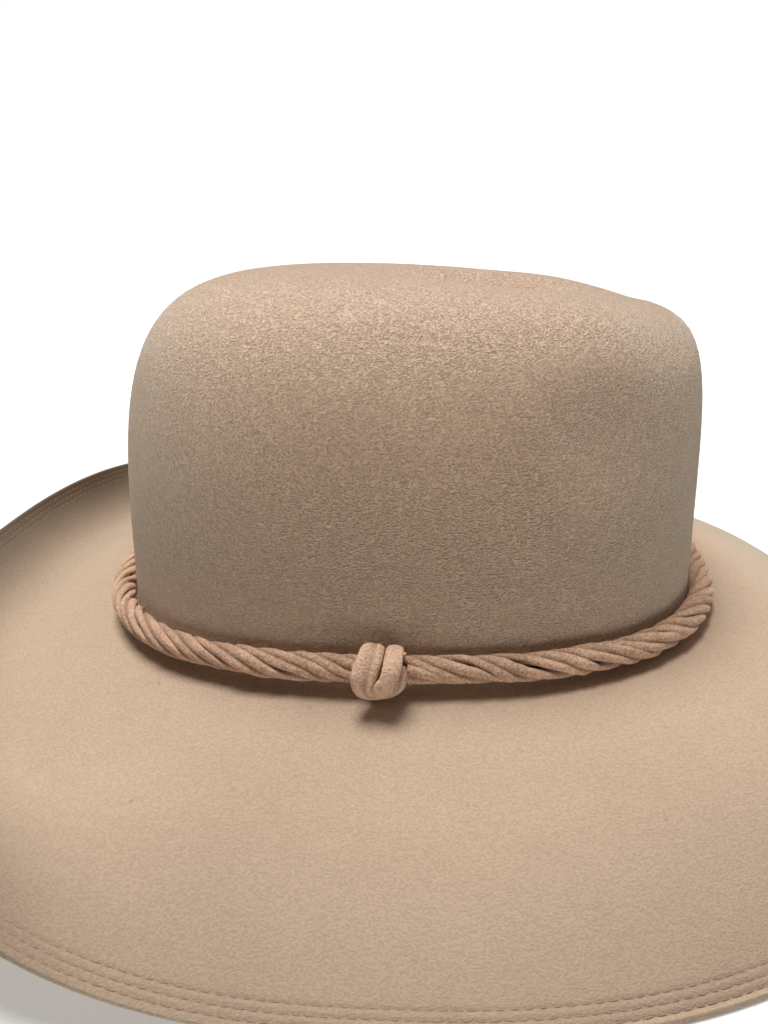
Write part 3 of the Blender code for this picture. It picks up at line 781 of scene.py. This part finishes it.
knotStraps = (  # points are along, up and out from the knot's middle in mm, then width and thickness
    ("left", (
        (-2.6, 4.3, -6.5, 5.5, 1.8), (-3.0, 8.0, -2.4, 6.6, 2.0), (-3.6, 6.9, 2.6, 7.2, 2.2),
        (-4.9, 3.5, 5.6, 7.2, 2.3), (-5.5, 0.4, 6.0, 6.2, 2.3), (-4.9, -2.5, 4.8, 5.8, 2.3),
        (-3.3, -4.4, 3.0, 5.0, 2.2), (-0.7, -5.0, 1.8, 4.5, 2.2), (1.9, -4.3, 1.6, 4.0, 2.2),
        (4.0, -2.4, 1.6, 3.6, 2.2), (4.8, 0.2, 1.2, 3.4, 2.2), (4.5, 2.6, -0.6, 3.1, 2.0))),
    ("right", (
        (3.4, 4.9, -6.0, 4.1, 1.7), (3.1, 7.5, -2.2, 4.9, 1.9), (2.9, 6.8, 2.4, 5.2, 2.1),
        (2.5, 4.7, 5.2, 5.2, 2.2), (1.45, 1.8, 6.4, 4.8, 2.3), (-0.3, -1.0, 6.2, 5.2, 2.2),
        (-1.0, -3.4, 4.6, 3.8, 2.0), (-1.2, -4.8, 2.0, 2.4, 1.6))),
    ("tip", (
        (4.5, 5.7, -1.6, 1.7, 0.8), (5.2, 6.7, -0.2, 1.3, 0.6), (5.9, 7.4, 0.6, 0.9, 0.5),
        (6.4, 7.8, 1.0, 0.3, 0.3))),
)
knotSizes = {
    "steps": 9, "sides": 22, "axisUp": 0.5, "axisOut": -4.0, "square": 0.75, "bulge": 0.050, "rubAndHighlight": 0.5,
    "crease": 0.26, "creasePlace": -0.1, "creaseWide": 0.14, "creaseShade": 0.6,
    "core": (5.4, 4.8, 5.6), "coreMiddle": (-1.2, 0.9, -1.2), "coreRings": 12, "coreShade": 0.75,
    "mapAlong": 0.22, "mapShift": 0.3,
}


def smoothRun(rows, steps):  # points of a table joined by one smooth run
    rows = np.array(rows, float)
    padded = np.vstack((2 * rows[0] - rows[1], rows, 2 * rows[-1] - rows[-2]))
    made = []
    for k in range(1, len(padded) - 2):
        a, b, c, d = padded[k - 1:k + 3]
        for t in np.arange(steps) / steps:
            square, cube = 2 * a - 5 * b + 4 * c - d, 3 * b - a - 3 * c + d
            made.append(0.5 * (2 * b + (c - a) * t + square * t * t + cube * t ** 3))
    return np.array(made + [rows[-1]])


def makeKnot(material):
    z, mm = knotSizes, 0.001
    sides = z["sides"]
    low, high = (np.array(corner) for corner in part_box("band_knot"))
    middle = (low + high) / 2
    toFrame = np.array(((1, 0, 0), (0, 0, 1), (0, -1, 0)), float)  # along, up and out as x, y, z
    turns = [math.tau * j / sides for j in range(sides)]
    points, faces, marks = [], [], []  # a mark is painted fold shade, rub with painted highlight, and the place on the lace

    def closeEnds(base, rings, forward, shade):
        for ring, way in ((0, forward), (rings - 1, not forward)):
            marks.append((shade, 0.0, marks[base + ring * sides][2]))
            closeRing(points, faces, base + ring * sides, sides, way)

    for number, (name, rows) in enumerate(knotStraps):
        run = smoothRun(rows, z["steps"])
        place, wide, thick = run[:, :3], run[:, 3] / 2, run[:, 4] / 2
        along = np.gradient(place, axis=0)
        along /= np.linalg.norm(along, axis=1)[:, None]
        outward = place * (0, 1, 1) - (0, z["axisUp"], z["axisOut"])
        outward -= along * np.sum(outward * along, axis=1)[:, None]
        outward /= np.linalg.norm(outward, axis=1)[:, None]
        across = np.cross(along, outward)
        gone = np.concatenate(([0], np.cumsum(np.linalg.norm(np.diff(place, axis=0), axis=1))))
        first = len(points)
        for k in range(len(place)):
            for t in turns:
                c, q = math.cos(t), math.sin(t)
                flat = abs(c) ** z["square"] * math.copysign(1, c) * wide[k]
                # the left strap's crease is dented and given painted shade
                crease = 0.0
                if q > 0 and name == "left":
                    crease = math.exp(-((c - z["creasePlace"]) / z["creaseWide"]) ** 2)
                lift = q * (1 - z["crease"] * crease) * thick[k]
                local = place[k] + across[k] * flat + outward[k] * (lift - z["bulge"] * flat ** 2)
                points.append(local @ toFrame * mm + middle)
                laced = gone[k] * mm * z["mapAlong"] + number * z["mapShift"]
                # the outer face of a strap is rubbed and given painted highlight
                marks.append((z["creaseShade"] * crease, z["rubAndHighlight"] * max(q, 0.0) ** 2,
                              (laced, flat * mm, lift * mm)))
        faces += gridFaces(len(place), sides, first)
        closeEnds(first, len(place), False, 0.0)
    first, rings = len(points), z["coreRings"]  # what the straps are wound on
    for k in range(1, rings):
        up, reach = math.cos(math.pi * k / rings), math.sin(math.pi * k / rings)
        for t in turns:
            local = np.array((up, reach * math.cos(t), reach * math.sin(t))) * z["core"]
            points.append((local + z["coreMiddle"]) @ toFrame * mm + middle)
            marks.append((z["coreShade"], 0.0, (0, 0, 0)))
    faces += gridFaces(rings - 1, sides, first)
    closeEnds(first, rings - 1, True, z["coreShade"])
    knot = meshPiece("bandKnot", points, faces, material)
    for name, column in (("foldDepth", 0), ("ridgeRub", 1)):
        attribute = knot.data.attributes.new(name, "FLOAT", "POINT")
        attribute.data.foreach_set("value", np.array([mark[column] for mark in marks], np.float32))
    attribute = knot.data.attributes.new("laceMap", "FLOAT_VECTOR", "POINT")
    attribute.data.foreach_set("vector", np.array([mark[2] for mark in marks], np.float32).reshape(-1))
    print("knot:", len(faces), "faces")
    return knot


knot = makeKnot(suedeMaterial)

# loose fibres on the suede

fuzzSizes = {
    "density": 26000.0, "length": 0.0019, "thick": 0.000026, "bend": 1.2, "seed": 11, "shortest": 0.35,
    "hair": ((0, 0, -0.15), (0, 0, 0.4), (0.35, 0.1, 0.8), (0.8, 0.3, 0.9)),  # root, two handles, tip
}


def makeFuzzTree():  # short bent hairs standing on the faces they grow from
    tree, fed = shapeTree("fuzzCover", [
        ("Density", "Float", 1000.0), ("Length", "Float", 0.001), ("Thick", "Float", 0.00002),
        ("Bend", "Float", 0.5), ("Seed", "Int", 0), ("Material", "Material", None)])
    spread = put(tree, "GeometryNodeDistributePointsOnFaces", {
        0: fed["Geometry"], "Density": fed["Density"], "Seed": fed["Seed"]})
    root, rootHandle, tipHandle, tip = fuzzSizes["hair"]
    hair = put(tree, "GeometryNodeCurvePrimitiveBezierSegment", {
        "Resolution": 3, "Start": root, "Start Handle": rootHandle, "End Handle": tipHandle, "End": tip})
    section = put(tree, "GeometryNodeCurvePrimitiveCircle", {
        "Resolution": 3, "Radius": mathNode(tree, "DIVIDE", fed["Thick"], fed["Length"])})
    solid = put(tree, "GeometryNodeCurveToMesh", {
        0: hair.outputs[0], 1: section.outputs[0], "Fill Caps": True})
    spin = put(tree, "FunctionNodeRandomValue", {
        "Min": (-1.0, -1.0, 0.0), "Max": (1.0, 1.0, 0.0), "Seed": fed["Seed"]}, data_type="FLOAT_VECTOR")
    lean = vectorNode(tree, "ADD", spread.outputs[1], scaledVector(tree, spin.outputs[0], fed["Bend"]))
    turn = put(tree, "FunctionNodeAxesToRotation", {0: lean, 1: spin.outputs[0]},
               primary_axis="Z", secondary_axis="X")
    size = put(tree, "FunctionNodeRandomValue", {2: fuzzSizes["shortest"], 3: 1.0, "Seed": fed["Seed"]},
               data_type="FLOAT")
    scale = mathNode(tree, "MULTIPLY", size.outputs[1], fed["Length"])
    laid = put(tree, "GeometryNodeInstanceOnPoints", {
        "Points": spread.outputs[0], "Instance": solid.outputs[0], "Rotation": turn.outputs[0],
        "Scale": scale})
    closeTree(tree, laid.outputs[0], fed["Material"])
    return tree


def makeFuzz(sources, material):
    points, faces = [], []
    for source in sources:
        first = len(points)
        points += [tuple(v.co) for v in source.data.vertices]
        faces += [tuple(first + i for i in f.vertices) for f in source.data.polygons]
    base = meshPiece("bandFuzz", points, faces)
    z = fuzzSizes
    fuzz = growPiece(base, makeFuzzTree(), {
        "Density": z["density"], "Length": z["length"], "Thick": z["thick"], "Bend": z["bend"],
        "Seed": z["seed"], "Material": material})
    print("fuzz:", len(fuzz.data.polygons), "faces")
    return fuzz


fuzz = makeFuzz((cord, knot), suedeMaterial)

# floor, light and camera

stageSizes = {
    "floor": 60.0, "floorColour": (0.80, 0.80, 0.795, 1), "floorGlow": 0.30, "floorRough": 0.9,
    "skyTop": 0.36, "skySide": 0.32, "skyColour": (1.0, 0.965, 0.925, 1),
    "nearDark": -0.7, "nearLight": 0.2, "backGlow": 2.2,
    "lampFrom": (-0.12, 0.11, 1.0), "lampSpread": 28.0, "lampPower": 3.1,
}


def makeFloor():
    s = stageSizes
    half = s["floor"] / 2
    corners = [(-half, -half, 0), (half, -half, 0), (half, half, 0), (-half, half, 0)]
    material = startMaterial("paleFloor", {
        "Base Color": s["floorColour"], "Roughness": s["floorRough"], "Emission Color": (1, 1, 1, 1),
        "Emission Strength": s["floorGlow"]})[0]
    meshPiece("studioFloor", corners, [(0, 1, 2, 3)], material)


def makeLight():  # pale sky, darker on the side of the camera, and one wide lamp overhead
    s = stageSizes
    world = bpy.data.worlds.new("studioSky")
    scene.world = world
    world.use_nodes = True
    tree = world.node_tree
    sky = tree.nodes["Background"]
    direction = put(tree, "ShaderNodeTexCoord").outputs["Generated"]
    parts = put(tree, "ShaderNodeSeparateXYZ", {0: direction}).outputs
    glow = ranged(tree, parts[2], (0.0, 1.0, s["skySide"], s["skyTop"]))
    clear = ranged(tree, parts[1], (s["nearDark"], s["nearLight"], 0.0, 1.0))
    back = ranged(tree, parts[1], (s["nearLight"], 1.0, 1.0, s["backGlow"]))
    lit = mathNode(tree, "MULTIPLY", mathNode(tree, "MULTIPLY", glow, clear), back)
    seen = put(tree, "ShaderNodeLightPath").outputs["Is Camera Ray"]
    tree.links.new(blendNumbers(tree, seen, lit, 1.0), sky.inputs["Strength"])
    tree.links.new(blendColours(tree, seen, s["skyColour"], (1, 1, 1, 1)), sky.inputs["Color"])
    lamp = bpy.data.lights.new("softLamp", "SUN")
    lamp.angle, lamp.energy = math.radians(s["lampSpread"]), s["lampPower"]
    holder = bpy.data.objects.new("softLamp", lamp)
    scene.collection.objects.link(holder)
    holder.rotation_euler = (-Vector(s["lampFrom"])).to_track_quat("-Z", "Y").to_euler()


cameraView = {"focalPixels": 870.0, "longSide": 1024.0, "place": (0.0131, -0.3074, 0.1693),
              "down": 19.575, "right": -4.769, "roll": -1.55, "nearest": 0.01}


def makeCamera():
    v = cameraView
    down, turn, roll = (math.radians(v[k]) for k in ("down", "right", "roll"))
    forward = Vector((math.sin(turn) * math.cos(down), math.cos(turn) * math.cos(down), -math.sin(down)))
    side = Vector((math.cos(turn), -math.sin(turn), 0))
    up = side.cross(forward)
    right = side * math.cos(roll) + up * math.sin(roll)
    up = up * math.cos(roll) - side * math.sin(roll)
    data = bpy.data.cameras.new("photoView")
    data.lens = v["focalPixels"] / v["longSide"] * data.sensor_width
    data.clip_start = v["nearest"]
    camera = bpy.data.objects.new("photoView", data)
    scene.collection.objects.link(camera)
    axes = Matrix((right, up, -forward)).transposed().to_4x4()
    camera.matrix_world = Matrix.Translation(v["place"]) @ axes
    scene.camera = camera


makeFloor()
makeLight()
makeCamera()
scene.view_settings.view_transform = "Standard"
print("stage, light and camera set")

# what each piece rides on

finishes = ((felt, "felt"), (stitches, "felt"), (cord, "suede"), (knot, "suede"), (fuzz, "suede"))
for piece, slotName in finishes:
    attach(piece, "root")
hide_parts("felt_body")
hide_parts("band_cord")
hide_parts("band_knot")

print("pieces placed")
